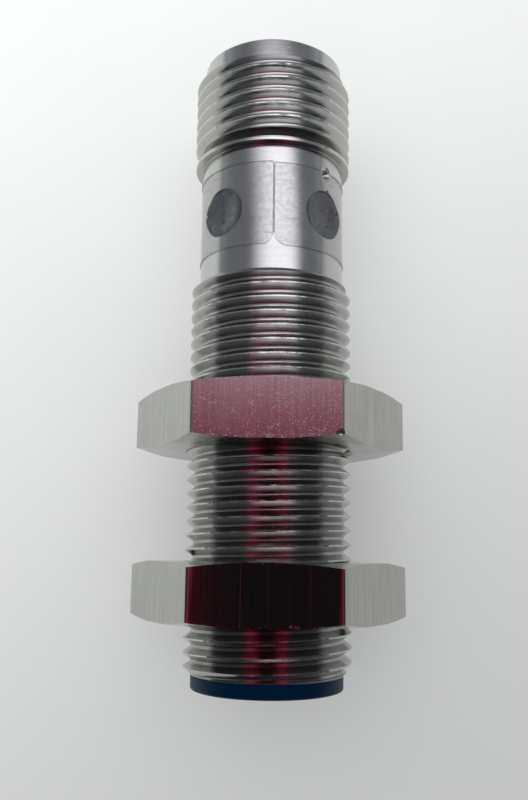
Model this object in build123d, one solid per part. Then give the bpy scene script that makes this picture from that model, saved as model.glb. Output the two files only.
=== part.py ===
from build123d import *
import os

# Cylindrical inductive proximity sensor with an M12 x 1 barrel and a four-pin plug.
# Millimetres. The barrel's axis is Y: the sensing face is at Y = 0 and looks towards -Y,
# and the plug is at the +Y end. Z is up, and the sensor lies on the flats of its two nuts.

# ---------------------------------------------------------------- driving dimensions
# barrel, along Y
TOTAL_LENGTH = 46.5
FACE_CAP_RIM = 1.0
THREAD_END = 28.45
NECK_START = 28.9
NECK_END = 38.2
COLLAR_END = 38.5
UNDERCUT_END = 39.1
PLUG_THREAD_END = 45.2

# barrel, radii
CREST_R = 5.97
NECK_R = 5.35
COLLAR_R = 5.9
UNDERCUT_R = 5.2
LIP_R = 5.3
BORE_R = 4.85
SOCKET_R = 4.4
SOCKET_SHOULDER = 37.6
END_CHAMFER = 0.15

# thread, with the basic profile of an ISO metric thread
PITCH = 1.0
THREAD_DEPTH = 0.5413 * PITCH
CREST_FLAT = PITCH / 8
FLANK = 0.3125 * PITCH
FIRST_CREST = 1.7
THREAD_TURNS = 27
PLUG_THREAD_CHAMFER = 0.3

# barrel and everything in it are turned about Y against the flats of the nuts
HOUSING_TURN = 3.0

# windows and key mark in the neck
WINDOW_Y = 33.5
WINDOW_R = 1.8
WINDOW_COUNT = 4
WINDOW_ANGLE = 45.0
KEY_MARK_Y = 36.64
KEY_MARK_R = 0.6
KEY_MARK_DEPTH = 0.3

# nuts
NUT_ACROSS_FLATS = 17.0
NUT_THICKNESS = 4.0
NUT_BORE_R = 6.05
NUT_CHAMFER_START_R = 8.6
NUT_CHAMFER_SLOPE = 0.268
NUT_CORNER_R = NUT_ACROSS_FLATS / 3 ** 0.5
NUT_MOUTH_CHAMFER = 0.5
FRONT_NUT_Y = 4.7
REAR_NUT_Y = 16.5

# sensing face cap
CAP_R = 5.35
CAP_FACE = 0.55
CAP_INNER_R = 4.4
CAP_SLEEVE_R = 4.82
CAP_LENGTH = 6.0
CAP_EDGE = 0.15

# ferrite pot core, bobbin and winding
CORE_R = 4.3
CORE_Y = 0.6
CORE_LENGTH = 4.0
CORE_POST_R = 1.9
CORE_POST_HOLE_R = 0.7
CORE_SLOT_R = 3.6
CORE_SLOT_DEPTH = 2.3
CORE_BACK = CORE_Y + CORE_LENGTH
BOBBIN_GAP = 0.05
BOBBIN_WALL = 0.2
WINDING_R = 3.4
LEAD_R = 0.12
LEAD_X = 2.75
LEAD_HOLE_R = 0.35
LEAD_BEND_START = 5.2
LEAD_BEND_END = 6.0
LEAD_END = 7.2

# circuit board
BOARD_Y = 6.4
BOARD_END = 34.4
BOARD_WIDTH = 7.4
BOARD_THICKNESS = 0.8

# light guide
GUIDE_Y = 31.3
GUIDE_LENGTH = 4.4
GUIDE_INNER_R = 3.95
GUIDE_R = 4.83
GUIDE_STUD_R = 1.78
GUIDE_STUD_TOP_R = 5.2
LED_Y = 32.6
LED_X = 2.3
LED_SIZE = (0.8, 1.6, 0.6)

# connector insert and pins
INSERT_Y = 35.8
INSERT_FLANGE_R = 4.82
INSERT_R = 4.38
INSERT_FACE = 38.9
SEAL_GROOVE_Y = 36.3
SEAL_GROOVE_WIDTH = 0.8
SEAL_GROOVE_R = 4.2
SEAL_SECTION_R = 0.32
KEY_WIDTH = 1.2
KEY_INNER_R = 3.8
KEY_END = 44.5
KEY_ROOT = 0.4
PIN_CIRCLE_R = 2.83
PIN_R = 0.5
PIN_TAIL_R = 0.35
PIN_TAIL = 35.0
PIN_TIP = 45.6
PIN_SHOULDER = 36.8
PIN_TIP_CHAMFER = (0.3, 0.2)
WIRE_R = 0.2
WIRE_LANDING = 33.9
WIRE_END = 33.2
WIRE_PAD_X = 0.8

# potting resin
POTTING_Y = 6.05
POTTING_END = 31.25
POTTING_R = 4.83

# label film
FILM_Y = 30.55
FILM_LENGTH = 6.3
FILM_THICKNESS = 0.08
FILM_GAP_WIDTH = 0.15

UPWARDS = (Align.CENTER, Align.CENTER, Align.MIN)


# ---------------------------------------------------------------- helpers
def turned_profile(points):
    """Solid of revolution about Y from (radius, y) points."""
    face = make_face(Polyline(*[(r, y) for r, y in points], close=True))
    return revolve(face, Axis.Y)


def tube(outer_r, inner_r, start, length):
    """Ring of rectangular section about Y."""
    return turned_profile(
        [(inner_r, start), (outer_r, start), (outer_r, start + length), (inner_r, start + length)]
    )


def rod(radius, start, end):
    """Straight round bar between two points."""
    path = Vector(*end) - Vector(*start)
    plane = Plane(origin=Vector(*start), z_dir=path)
    return plane * Cylinder(radius, path.length, align=UPWARDS)


def wire(radius, points):
    """Round wire through points, with a ball at each bend."""
    pieces = [rod(radius, a, b) for a, b in zip(points, points[1:])]
    pieces += [Pos(*p) * Sphere(radius) for p in points[1:-1]]
    result = pieces[0]
    for piece in pieces[1:]:
        result = result + piece
    return result


def block(size, centre):
    """Box of a given size about a centre point."""
    return Pos(*centre) * Box(*size)


def on_board(size, x, y, side):
    """Component box that stands on one side of the circuit board."""
    z = side * (BOARD_THICKNESS + size[2]) / 2
    return block(size, (x, y, z))


def thread_points():
    """Profile points of the mounting thread, from its first front root to its last back root."""
    root_r = CREST_R - THREAD_DEPTH
    points = []
    for turn in range(THREAD_TURNS):
        crest = FIRST_CREST + turn * PITCH
        points.append((root_r, crest - CREST_FLAT / 2 - FLANK))
        points.append((CREST_R, crest - CREST_FLAT / 2))
        points.append((CREST_R, crest + CREST_FLAT / 2))
        points.append((root_r, crest + CREST_FLAT / 2 + FLANK))
    return points


def window_angles():
    """Angles of the windows about Y, from +Z towards +X."""
    return [WINDOW_ANGLE + step * 360 / WINDOW_COUNT for step in range(WINDOW_COUNT)]


# ---------------------------------------------------------------- barrel
def housing_tube():
    """Mounting thread as rings at the true pitch, and the plug's thread as its major diameter."""
    root_r = CREST_R - THREAD_DEPTH
    outer = [(BORE_R, FACE_CAP_RIM), (root_r, FACE_CAP_RIM)]
    outer += thread_points()
    last_rise = outer[-1][1] + FLANK
    outer += [(CREST_R, last_rise), (CREST_R, THREAD_END)]
    outer += [(NECK_R, NECK_START), (NECK_R, NECK_END)]
    outer += [(COLLAR_R, NECK_END), (COLLAR_R, COLLAR_END)]
    outer += [(UNDERCUT_R, COLLAR_END), (UNDERCUT_R, UNDERCUT_END)]
    outer += [(CREST_R, UNDERCUT_END), (CREST_R, PLUG_THREAD_END - PLUG_THREAD_CHAMFER)]
    outer += [(CREST_R - PLUG_THREAD_CHAMFER, PLUG_THREAD_END), (LIP_R, PLUG_THREAD_END)]
    outer += [(LIP_R, TOTAL_LENGTH - END_CHAMFER), (LIP_R - END_CHAMFER, TOTAL_LENGTH)]
    inner = [(SOCKET_R, TOTAL_LENGTH), (SOCKET_R, SOCKET_SHOULDER), (BORE_R, SOCKET_SHOULDER)]
    body = turned_profile(outer + inner)
    for angle in window_angles():
        hole = Pos(0, WINDOW_Y, 0) * Cylinder(WINDOW_R, NECK_R + 1, align=UPWARDS)
        body -= Rot(0, angle, 0) * hole
    mark = Cone(0, KEY_MARK_R, KEY_MARK_DEPTH, align=UPWARDS)
    body -= Rot(0, WINDOW_ANGLE, 0) * (Pos(0, KEY_MARK_Y, NECK_R - KEY_MARK_DEPTH) * mark)
    return body


def sensing_face_cap():
    points = [
        (0, 0),
        (CAP_R - CAP_EDGE, 0),
        (CAP_R, CAP_EDGE),
        (CAP_R, FACE_CAP_RIM),
        (CAP_SLEEVE_R, FACE_CAP_RIM),
        (CAP_SLEEVE_R, CAP_LENGTH),
        (CAP_INNER_R, CAP_LENGTH),
        (CAP_INNER_R, CAP_FACE),
        (0, CAP_FACE),
    ]
    return turned_profile(points)


# ---------------------------------------------------------------- coil
def lead_sides():
    """The two leads leave on opposite sides of the core."""
    return (-1, 1)


def ferrite_core():
    core = tube(CORE_R, CORE_POST_HOLE_R, CORE_Y, CORE_LENGTH)
    core -= tube(CORE_SLOT_R, CORE_POST_R, CORE_Y, CORE_SLOT_DEPTH)
    for side in lead_sides():
        core -= rod(LEAD_HOLE_R, (side * LEAD_X, CORE_Y, 0), (side * LEAD_X, CORE_BACK + 1, 0))
    return core


def bobbin_span():
    """Front and back ends of the bobbin inside the core's slot."""
    return CORE_Y + BOBBIN_GAP, CORE_Y + CORE_SLOT_DEPTH - BOBBIN_GAP


def coil_bobbin():
    front, back = bobbin_span()
    hub_inner = CORE_POST_R + BOBBIN_GAP
    hub = tube(hub_inner + BOBBIN_WALL, hub_inner, front, back - front)
    flange_r = CORE_SLOT_R - BOBBIN_GAP
    bobbin = hub + tube(flange_r, hub_inner, front, BOBBIN_WALL)
    bobbin += tube(flange_r, hub_inner, back - BOBBIN_WALL, BOBBIN_WALL)
    for side in lead_sides():
        bobbin -= rod(LEAD_HOLE_R, (side * LEAD_X, back - BOBBIN_WALL, 0), (side * LEAD_X, back + 1, 0))
    return bobbin


def coil_winding():
    front, back = bobbin_span()
    hub_r = CORE_POST_R + BOBBIN_GAP + BOBBIN_WALL
    return tube(WINDING_R, hub_r, front + BOBBIN_WALL, back - front - 2 * BOBBIN_WALL)


def coil_leads():
    back = bobbin_span()[1] - BOBBIN_WALL
    pad_z = BOARD_THICKNESS / 2 + LEAD_R
    leads = []
    for side in lead_sides():
        x = side * LEAD_X
        points = [(x, back, 0), (x, LEAD_BEND_START, 0), (x, LEAD_BEND_END, pad_z), (x, LEAD_END, pad_z)]
        leads.append(wire(LEAD_R, points))
    return leads


# ---------------------------------------------------------------- electronics
def circuit_board():
    length = BOARD_END - BOARD_Y
    return block((BOARD_WIDTH, length, BOARD_THICKNESS), (0, BOARD_Y + length / 2, 0))


def sensor_chip():
    return on_board((3.9, 4.9, 1.4), 0, 12.5, 1)


def output_transistor():
    return on_board((2.6, 3.0, 1.1), 0, 24.5, 1)


def voltage_regulator():
    return on_board((2.5, 4.5, 1.5), 0, 18.8, 1)


def capacitors():
    size = (1.25, 2.0, 1.0)
    return [on_board(size, x, y, -1) for x in (-1.6, 1.6) for y in (11.0, 15.0)]


def resistors():
    size = (0.8, 1.6, 0.45)
    return [on_board(size, x, y, -1) for x in (-2.0, -0.7, 0.7, 2.0) for y in (19.0, 22.0)]


def protection_diodes():
    return [on_board((1.4, 2.7, 1.1), x, 26.8, -1) for x in (-1.5, 1.5)]


def status_leds():
    return [on_board(LED_SIZE, x, LED_Y, side) for x in (-LED_X, LED_X) for side in (-1, 1)]


def light_guide():
    ring = tube(GUIDE_R, GUIDE_INNER_R, GUIDE_Y, GUIDE_LENGTH)
    envelope = tube(GUIDE_STUD_TOP_R, GUIDE_INNER_R, GUIDE_Y, GUIDE_LENGTH)
    for angle in window_angles():
        stud = Cylinder(GUIDE_STUD_R, NECK_R, align=UPWARDS)
        ring += Rot(0, angle, 0) * (Pos(0, WINDOW_Y, 0) * stud) & envelope
    return ring


# ---------------------------------------------------------------- plug
def pin_places():
    """Pin centres (x, z), one every quarter turn."""
    return [(0, PIN_CIRCLE_R), (PIN_CIRCLE_R, 0), (0, -PIN_CIRCLE_R), (-PIN_CIRCLE_R, 0)]


def connector_insert():
    groove_end = SEAL_GROOVE_Y + SEAL_GROOVE_WIDTH
    points = [
        (0, INSERT_Y),
        (INSERT_FLANGE_R, INSERT_Y),
        (INSERT_FLANGE_R, SEAL_GROOVE_Y),
        (SEAL_GROOVE_R, SEAL_GROOVE_Y),
        (SEAL_GROOVE_R, groove_end),
        (INSERT_FLANGE_R, groove_end),
        (INSERT_FLANGE_R, SOCKET_SHOULDER),
        (INSERT_R, SOCKET_SHOULDER),
        (INSERT_R, INSERT_FACE),
        (0, INSERT_FACE),
    ]
    insert = turned_profile(points)
    key_start = INSERT_FACE - KEY_ROOT
    key_length = KEY_END - key_start
    key = block((KEY_WIDTH, key_length, INSERT_R), (0, key_start + key_length / 2, INSERT_R / 2))
    key &= tube(INSERT_R, KEY_INNER_R, key_start, key_length)
    insert += Rot(0, WINDOW_ANGLE, 0) * key
    for x, z in pin_places():
        insert -= rod(PIN_TAIL_R, (x, INSERT_Y - 1, z), (x, PIN_SHOULDER, z))
        insert -= rod(PIN_R, (x, PIN_SHOULDER, z), (x, INSERT_FACE + 1, z))
    return insert


def insert_seal_ring():
    centre_y = SEAL_GROOVE_Y + SEAL_GROOVE_WIDTH / 2
    ring = Torus(SEAL_GROOVE_R + SEAL_SECTION_R, SEAL_SECTION_R)
    return Pos(0, centre_y, 0) * (Rot(90, 0, 0) * ring)


def contact_pin(x, z):
    tail = rod(PIN_TAIL_R, (x, PIN_TAIL, z), (x, PIN_SHOULDER, z))
    shaft = rod(PIN_R, (x, PIN_SHOULDER, z), (x, PIN_TIP, z))
    tip_edge = shaft.edges().filter_by(GeomType.CIRCLE).sort_by(Axis.Y)[-1]
    return tail + chamfer(tip_edge, *PIN_TIP_CHAMFER)


def contact_wires():
    pad_z = BOARD_THICKNESS / 2 + WIRE_R
    bend = PIN_TAIL - 0.25
    wires = []
    for x, z in pin_places():
        if x == 0:
            side = 1 if z > 0 else -1
            points = [
                (0, PIN_TAIL, z),
                (0, bend, z),
                (0, WIRE_LANDING, side * pad_z),
                (0, WIRE_END, side * pad_z),
            ]
        else:
            side = 1 if x > 0 else -1
            board_x = WIRE_PAD_X * side
            points = [
                (x, PIN_TAIL, 0),
                (x, bend, 0),
                (0.7 * x, bend, side * pad_z),
                (board_x, WIRE_LANDING, side * pad_z),
                (board_x, WIRE_END, side * pad_z),
            ]
        wires.append(wire(WIRE_R, points))
    return wires


# ---------------------------------------------------------------- resin and film
def potting_compound(held):
    """Resin fills the barrel and is cut out round each piece that it holds."""
    resin = rod(POTTING_R, (0, POTTING_Y, 0), (0, POTTING_END, 0))
    for shape in held:
        resin -= shape
    return resin


def label_film():
    film = tube(NECK_R + FILM_THICKNESS, NECK_R, FILM_Y, FILM_LENGTH)
    half = NECK_R + 1
    gap = block((FILM_GAP_WIDTH, FILM_LENGTH + 2, half), (0, FILM_Y + FILM_LENGTH / 2, half / 2))
    return film - gap


# ---------------------------------------------------------------- nuts
def hexagon_nut(front_y):
    """Nut with flats up and down, chamfered corners and a plain bore that clears the thread."""
    hexagon = RegularPolygon(NUT_CORNER_R, 6)
    nut = extrude(Plane.XZ.offset(-front_y) * hexagon, -NUT_THICKNESS)
    drop = (NUT_CORNER_R - NUT_CHAMFER_START_R) * NUT_CHAMFER_SLOPE
    back_y = front_y + NUT_THICKNESS
    envelope = turned_profile(
        [
            (0, front_y),
            (NUT_CHAMFER_START_R, front_y),
            (NUT_CORNER_R, front_y + drop),
            (NUT_CORNER_R, back_y - drop),
            (NUT_CHAMFER_START_R, back_y),
            (0, back_y),
        ]
    )
    nut &= envelope
    mouth = NUT_MOUTH_CHAMFER
    bore = turned_profile(
        [
            (0, front_y - 1),
            (NUT_BORE_R + mouth, front_y - 1),
            (NUT_BORE_R + mouth, front_y),
            (NUT_BORE_R, front_y + mouth),
            (NUT_BORE_R, back_y - mouth),
            (NUT_BORE_R + mouth, back_y),
            (NUT_BORE_R + mouth, back_y + 1),
            (0, back_y + 1),
        ]
    )
    return nut - bore


# ---------------------------------------------------------------- write the parts
def electronics():
    """Pieces that the resin holds, each as a list of solids."""
    return {
        "coil_leads": coil_leads(),
        "circuit_board": [circuit_board()],
        "sensor_chip": [sensor_chip()],
        "output_transistor": [output_transistor()],
        "voltage_regulator": [voltage_regulator()],
        "capacitors": capacitors(),
        "resistors": resistors(),
        "protection_diodes": protection_diodes(),
    }


def housing_parts():
    """Every piece that is fixed to the barrel, each as a list of solids."""
    held = electronics()
    parts = {
        "housing_tube": [housing_tube()],
        "sensing_face_cap": [sensing_face_cap()],
        "ferrite_core": [ferrite_core()],
        "coil_bobbin": [coil_bobbin()],
        "coil_winding": [coil_winding()],
        "status_leds": status_leds(),
        "light_guide": [light_guide()],
        "connector_insert": [connector_insert()],
        "insert_seal_ring": [insert_seal_ring()],
        "contact_wires": contact_wires(),
        "label_film": [label_film()],
        "potting_compound": [potting_compound(sum(held.values(), []))],
    }
    for number, (x, z) in enumerate(pin_places(), start=1):
        parts[f"contact_pin_{number}"] = [contact_pin(x, z)]
    return {**held, **parts}


def write_part(name, solids):
    """One STEP file, with a group of separate solids where the piece repeats."""
    shape = solids[0] if len(solids) == 1 else Compound(children=solids)
    export_step(shape, f"parts/{name}.step")


os.makedirs("parts", exist_ok=True)
turn = Rot(0, HOUSING_TURN, 0)
for part_name, part_solids in housing_parts().items():
    write_part(part_name, [turn * solid for solid in part_solids])
write_part("front_nut", [hexagon_nut(FRONT_NUT_Y)])
write_part("rear_nut", [hexagon_nut(REAR_NUT_Y)])
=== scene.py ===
import math
import random

import bpy
from mathutils import Matrix, Vector


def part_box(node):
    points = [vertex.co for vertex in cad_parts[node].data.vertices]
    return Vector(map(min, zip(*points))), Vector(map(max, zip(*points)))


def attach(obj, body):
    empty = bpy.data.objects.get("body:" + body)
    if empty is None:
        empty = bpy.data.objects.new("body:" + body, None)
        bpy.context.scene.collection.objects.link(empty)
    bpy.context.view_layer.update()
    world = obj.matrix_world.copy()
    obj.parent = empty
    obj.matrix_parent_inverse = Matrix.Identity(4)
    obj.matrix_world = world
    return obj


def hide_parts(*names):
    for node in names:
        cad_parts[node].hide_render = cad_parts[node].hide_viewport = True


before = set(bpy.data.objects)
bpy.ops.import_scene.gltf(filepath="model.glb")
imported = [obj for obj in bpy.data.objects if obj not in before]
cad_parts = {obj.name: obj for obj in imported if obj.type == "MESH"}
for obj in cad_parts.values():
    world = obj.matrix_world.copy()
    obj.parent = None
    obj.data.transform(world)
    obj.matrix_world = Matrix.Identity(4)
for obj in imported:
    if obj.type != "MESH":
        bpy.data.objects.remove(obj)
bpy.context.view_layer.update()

MM = 0.001
FULL_TURN = 2 * math.pi

# ---------------- sizes, in metres
barrel_low, barrel_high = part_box("housing_tube")
FRONT_END = barrel_low.y
PLUG_END = barrel_high.y
CREST_R = barrel_high.x
FLOOR_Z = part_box("front_nut")[0].z

# threads; a phase is the place of one crest along the top of the barrel
PITCH = 1.0 * MM
THREAD_DEPTH = 0.56 * MM
CREST_FLAT = PITCH / 8
ROOT_R = CREST_R - THREAD_DEPTH
FLANK_SLOPE = math.tan(math.radians(30))
CREST_PHASE = 0.69 * MM
PLUG_CREST_PHASE = 39.1 * MM
MOUNTING_GROOVE_TURNS = 30
PLUG_GROOVE_TURNS = 7
BURR_REACH = 0.07 * MM
BURR_SPACING = 0.45 * MM

# neck, collar, plug thread and socket
NECK_R = 5.35 * MM
THREAD_END = 28.45 * MM
NECK_START = 28.9 * MM
NECK_END = 38.2 * MM
COLLAR_R = 5.9 * MM
COLLAR_END = 38.5 * MM
UNDERCUT_R = 5.2 * MM
UNDERCUT_END = 39.1 * MM
PLUG_THREAD_END = 45.2 * MM
LIP_R = 5.3 * MM
BORE_R = 4.85 * MM
SOCKET_R = 4.4 * MM
SOCKET_SHOULDER = 37.6 * MM

# windows and the round mark; the housing is turned a little against the nuts
HOUSING_TURN = math.radians(3)
WINDOW_Y = 33.5 * MM
WINDOW_R = 1.8 * MM
KEY_MARK_Y = 36.64 * MM
KEY_MARK_R = 0.6 * MM
KEY_MARK_DEPTH = 0.38 * MM
WINDOW_ANGLES = [HOUSING_TURN + math.radians(45 + 90 * step) for step in range(4)]
KEY_ANGLE = WINDOW_ANGLES[0]

# nuts
NUT_FLATS_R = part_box("front_nut")[1].z
NUT_CORNER_R = NUT_FLATS_R / math.cos(math.radians(30))
NUT_CHAMFER_R = 8.6 * MM
NUT_CHAMFER_SLOPE = math.tan(math.radians(15))
NUT_MINOR_R = 5.5 * MM
NUT_MAJOR_R = 6.05 * MM
NUT_MOUTH = 0.62 * MM
NUT_EDGE = 0.14 * MM
NUT_GROOVE_TURNS = 7
NUT_NICK_R = 0.32 * MM
NUT_NICK_ASIDE = 4.72 * MM
NUT_NICK_INSET = 0.35 * MM
NUT_NICK_LIFT = 0.05 * MM

# cap over the sensing face
CAP_R = 5.35 * MM
CAP_RIM = 1.0 * MM
CAP_FACE = 0.55 * MM
CAP_SLEEVE_R = 4.82 * MM
CAP_INNER_R = 4.4 * MM
CAP_LENGTH = 6.0 * MM

# light guide and the studs in its windows
GUIDE_Y = 31.3 * MM
GUIDE_LENGTH = 4.4 * MM
GUIDE_INNER_R = 3.95 * MM
GUIDE_R = 4.83 * MM
STUD_R = 1.78 * MM
STUD_FOOT = 4.2 * MM
STUD_TOP = 5.2 * MM
STUD_DISH_R = 7 * MM
STUD_DISH_DEPTH = 0.12 * MM
STUD_BUBBLES = 8

# film round the neck
FILM_Y = 30.55 * MM
FILM_END = 36.85 * MM
FILM_R = 5.43 * MM
FILM_INNER_R = NECK_R + 0.008 * MM
FILM_GAP = 0.02 * MM
# Width of the painted shade beside the seam.
FILM_SEAM_SHADE_WIDTH = 0.085 * MM
FILM_CORNER = 1.05 * MM
FILM_TOP_CORNER = 0.35 * MM
FILM_SKEW = 0.1 * MM
SEAM_ANGLE = math.radians(2.5)

# pin carrier, its key and its pins; the groove is its start, end and radius
INSERT_Y = 35.8 * MM
INSERT_FLANGE_R = 4.82 * MM
INSERT_GROOVE = (36.3 * MM, 37.1 * MM, 4.2 * MM)
INSERT_R = 4.38 * MM
INSERT_FACE = 38.9 * MM
KEY_WIDTH = 1.2 * MM
KEY_INNER_R = 3.8 * MM
KEY_END = 44.5 * MM
PIN_R = 0.5 * MM
PIN_TAIL_R = 0.35 * MM
PIN_CIRCLE = 2.83 * MM
PIN_START = 35.0 * MM
PIN_TIP = 45.6 * MM
PIN_ANGLES = [math.radians(90 * step) for step in range(4)]

# faces round a turn, and how near two points are to be one
TURN_STEPS = 160
COIL_STEPS = 96
NUT_STEPS = 240
SMALL_STEPS = 48
SAME_POINT = 0.0005 * MM


# ---------------- modelling helpers
def clear_selection():
    """Leave edit mode with nothing selected."""
    if bpy.context.object and bpy.context.object.mode != "OBJECT":
        bpy.ops.object.mode_set(mode="OBJECT")
    bpy.ops.object.select_all(action="DESELECT")


def pick(piece):
    """Make one piece the only selected object."""
    clear_selection()
    piece.select_set(True)
    bpy.context.view_layer.objects.active = piece


def start_point(name, point):
    """A new piece in edit mode that is a single vertex."""
    clear_selection()
    bpy.ops.mesh.primitive_plane_add(size=MM, location=(0, 0, 0))
    piece = bpy.context.object
    piece.name = name
    piece.data.name = name
    bpy.ops.object.mode_set(mode="EDIT")
    bpy.ops.mesh.select_all(action="SELECT")
    bpy.ops.mesh.merge(type="CENTER")
    bpy.ops.transform.translate(value=point)
    return piece


def draw_line(points):
    """Extrude the selected vertex along a line of points."""
    for here, there in zip(points, points[1:]):
        step = Vector(there) - Vector(here)
        bpy.ops.mesh.extrude_region_move(TRANSFORM_OT_translate={"value": step})


def merge_and_face_out():
    """Close the seams of the piece being edited and turn its faces out."""
    bpy.ops.mesh.select_all(action="SELECT")
    bpy.ops.mesh.remove_doubles(threshold=SAME_POINT)
    bpy.ops.mesh.normals_make_consistent(inside=False)
    bpy.ops.object.mode_set(mode="OBJECT")


def turned(name, outline, steps=TURN_STEPS):
    """Closed (radius, y) outline, or one from axis to axis, spun about the barrel's axis."""
    points = [(r, y, 0) for r, y in outline]
    if outline[0][0] > 0:
        points.append(points[0])
    piece = start_point(name, points[0])
    draw_line(points)
    bpy.ops.mesh.select_all(action="SELECT")
    bpy.ops.mesh.spin(steps=steps, angle=FULL_TURN, center=(0, 0, 0), axis=(0, 1, 0))
    merge_and_face_out()
    return piece


def apply_modifier(piece, kind, **settings):
    """Add a modifier with its settings and make it part of the mesh."""
    pick(piece)
    modifier = piece.modifiers.new(kind.lower(), kind)
    for key, value in settings.items():
        setattr(modifier, key, value)
    bpy.ops.object.modifier_apply(modifier=modifier.name)


def cut(piece, tool, operation="DIFFERENCE"):
    """Cut a piece with a closed tool, join the two, or keep what they share."""
    apply_modifier(piece, "BOOLEAN", object=tool, operation=operation, solver="MANIFOLD")
    bpy.data.objects.remove(tool)


def round_edges(piece, width, segments=2, degrees=35):
    """Bevel the edges that are sharper than an angle."""
    apply_modifier(
        piece,
        "BEVEL",
        width=width,
        segments=segments,
        limit_method="ANGLE",
        angle_limit=math.radians(degrees),
    )


def wound(name, section, start_angle, turns, lead, angle=FULL_TURN, steps=COIL_STEPS):
    """Closed section of (radius, y) points wound about the barrel's axis from an angle off +X."""
    points = [(r, y, 0) for r, y in section]
    points.append(points[0])
    piece = start_point(name, points[0])
    draw_line(points)
    bpy.ops.mesh.select_all(action="SELECT")
    bpy.ops.mesh.remove_doubles(threshold=SAME_POINT)
    bpy.ops.object.mode_set(mode="OBJECT")
    apply_modifier(
        piece,
        "SCREW",
        axis="Y",
        angle=angle,
        screw_offset=lead,
        iterations=turns,
        steps=steps,
        render_steps=steps,
        use_smooth_shade=False,
    )
    piece.data.transform(Matrix.Rotation(start_angle, 4, "Y"))
    bpy.ops.object.mode_set(mode="EDIT")
    bpy.ops.mesh.select_all(action="SELECT")
    bpy.ops.mesh.fill_holes(sides=0)
    merge_and_face_out()
    return piece


def smooth(piece, degrees=28):
    """Shade a piece smooth, but for edges sharper than an angle."""
    pick(piece)
    bpy.ops.object.shade_smooth_by_angle(angle=math.radians(degrees), keep_sharp_edges=False)


def radial_drill(angle, y, foot_radius, top_radius, low, high, steps=SMALL_STEPS):
    """Round tool that stands out from the barrel's axis at an angle from +Z towards +X."""
    clear_selection()
    bpy.ops.mesh.primitive_cone_add(
        vertices=steps,
        radius1=foot_radius,
        radius2=top_radius,
        depth=high - low,
        location=(0, 0, 0),
    )
    tool = bpy.context.object
    place = Matrix.Translation((0, y, (low + high) / 2))
    tool.data.transform(Matrix.Rotation(angle, 4, "Y") @ place)
    return tool


def ball(centre, radius, subdivisions=2):
    clear_selection()
    bpy.ops.mesh.primitive_ico_sphere_add(subdivisions=subdivisions, radius=radius, location=(0, 0, 0))
    tool = bpy.context.object
    tool.data.transform(Matrix.Translation(centre))
    return tool


def on_barrel(angle, radius, y):
    """Point at an angle from +Z towards +X, a radius and a place along the barrel."""
    return Vector((radius * math.sin(angle), y, radius * math.cos(angle)))


# ---------------- barrel
def barrel_blank():
    """Turned barrel before its threads and holes are cut."""
    chamfer = 0.62 * MM
    edge = 0.12 * MM
    relief = 0.08 * MM
    lip_edge = 0.12 * MM
    fine = 0.05 * MM
    outline = [
        (BORE_R, FRONT_END),
        (CREST_R - chamfer, FRONT_END),
        (CREST_R, FRONT_END + chamfer),
        (CREST_R, THREAD_END - fine),
        (CREST_R - 0.03 * MM, THREAD_END),
        (NECK_R, NECK_START),
        (NECK_R, NECK_END - relief),
        (NECK_R - relief / 2, NECK_END - relief / 2),
        (NECK_R, NECK_END),
        (COLLAR_R - fine, NECK_END),
        (COLLAR_R, NECK_END + fine),
        (COLLAR_R, COLLAR_END - fine),
        (COLLAR_R - fine, COLLAR_END),
        (UNDERCUT_R, COLLAR_END),
        (UNDERCUT_R, UNDERCUT_END - 0.2 * MM),
        (CREST_R - 0.1 * MM, UNDERCUT_END + 0.1 * MM),
        (CREST_R, UNDERCUT_END + 0.2 * MM),
        (CREST_R, PLUG_THREAD_END - 0.4 * MM),
        (LIP_R, PLUG_THREAD_END + fine),
        (LIP_R, PLUG_END - lip_edge),
        (LIP_R - 0.3 * lip_edge, PLUG_END - 0.3 * lip_edge),
        (LIP_R - lip_edge, PLUG_END),
        (SOCKET_R + 2 * edge, PLUG_END),
        (SOCKET_R, PLUG_END - 2 * edge),
        (SOCKET_R, SOCKET_SHOULDER),
        (BORE_R, SOCKET_SHOULDER),
    ]
    return turned("housing_shell", outline)


def groove_section(centre_y):
    """Rounded V of the outside thread's groove, carried out past the crests to clear the metal."""
    top = CREST_R + 0.06 * MM
    half_gap = (PITCH - CREST_FLAT) / 2
    half_top = half_gap + (top - CREST_R) * FLANK_SLOPE
    shoulder = ROOT_R + 0.07 * MM
    half_shoulder = half_gap - (CREST_R - shoulder) * FLANK_SLOPE
    low = ROOT_R + 0.015 * MM
    half = [
        (top, half_top),
        (shoulder, half_shoulder),
        (low, 0.6 * half_shoulder),
    ]
    before = [(r, centre_y - dy) for r, dy in half]
    after = [(r, centre_y + dy) for r, dy in reversed(half)]
    return before + [(ROOT_R, centre_y)] + after


def make_barrel():
    """Barrel with both outside threads, four windows, the key mark and worn crests."""
    barrel = barrel_blank()
    # A winding starts at +X, a quarter turn from the top, where the crests' phases are given.
    groove_off_crest = PITCH / 4 - PITCH / 2
    front_section = groove_section(CREST_PHASE + groove_off_crest - PITCH)
    cut(barrel, wound("front_groove", front_section, 0, MOUNTING_GROOVE_TURNS, PITCH))
    plug_section = groove_section(PLUG_CREST_PHASE + groove_off_crest)
    plug_tool = wound("plug_groove", plug_section, 0, PLUG_GROOVE_TURNS, PITCH)
    # The collar keeps its edge: the part of the winding that would reach it is taken off.
    guard_r = 7 * MM
    guard_end = COLLAR_END + 0.1 * MM
    guard = turned("guard", [(0, NECK_END), (guard_r, NECK_END), (guard_r, guard_end), (0, guard_end)])
    cut(plug_tool, guard)
    cut(barrel, plug_tool)
    inside = 2 * MM
    outside = 8 * MM
    for angle in WINDOW_ANGLES:
        cut(barrel, radial_drill(angle, WINDOW_Y, WINDOW_R, WINDOW_R, inside, outside))
    drill_key_mark(barrel)
    burr_crests(barrel)
    smooth(barrel, 20)
    return barrel


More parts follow.
